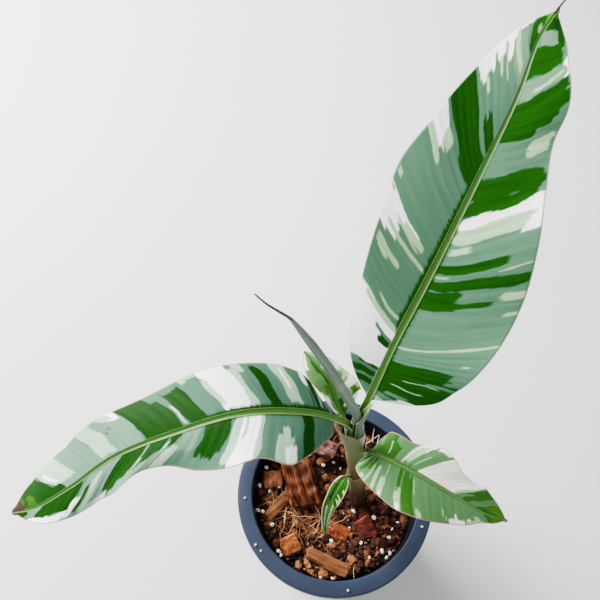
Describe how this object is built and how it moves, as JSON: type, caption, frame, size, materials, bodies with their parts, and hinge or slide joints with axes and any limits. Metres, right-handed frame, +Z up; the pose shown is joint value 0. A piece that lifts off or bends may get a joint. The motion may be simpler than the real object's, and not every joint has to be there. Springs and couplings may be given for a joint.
{
  "type": "potted banana plant",
  "caption": "Young variegated banana plant in a round nursery pot of bark mix: nested leaf sheaths, open streaked leaves and a rolled new leaf.",
  "frame": {"origin": "centre of the pot's base, on the plane that the pot stands on", "axes": "+Z up; the tall leaf leans towards +X and +Y, the long leaf lies towards -X"},
  "size_m": [0.3426, 0.2869, 0.4245],
  "materials": {
    "pot": "moulded dark slate-blue polypropylene, fine matt grain",
    "bark_mix": "damp fine bark and coir with white perlite grains",
    "husk": "fibrous red-brown coconut husk",
    "bark_brown": "rough brown bark",
    "bark_tan": "split tan bark",
    "bark_amber": "bright orange-brown bark, fresh break",
    "bark_red": "dark red bark",
    "corm": "pale fibrous corm and fleshy roots",
    "rolled_leaf": "grey-green waxy bloom",
    "leaf": "satin leaf, dark green, grey-green and white streaks along the side veins"
  },
  "bodies": {
    "root": {"pot": "pot", "bark_mix": "bark_mix", "husk_chunk": "husk", "husk_flake": "husk", "bark_chip_square": "bark_brown", "bark_chip_slanted": "bark_tan", "bark_chip_amber": "bark_amber", "bark_chip_orange": "bark_amber", "bark_chip_red": "bark_red", "bark_strip": "bark_tan", "corm_and_roots": "corm", "leaf_rolled": "rolled_leaf", "leaf_tall": "leaf", "leaf_long": "leaf", "leaf_rear": "leaf", "leaf_short": "leaf", "leaf_low": "leaf"}
  },
  "joints": []
}
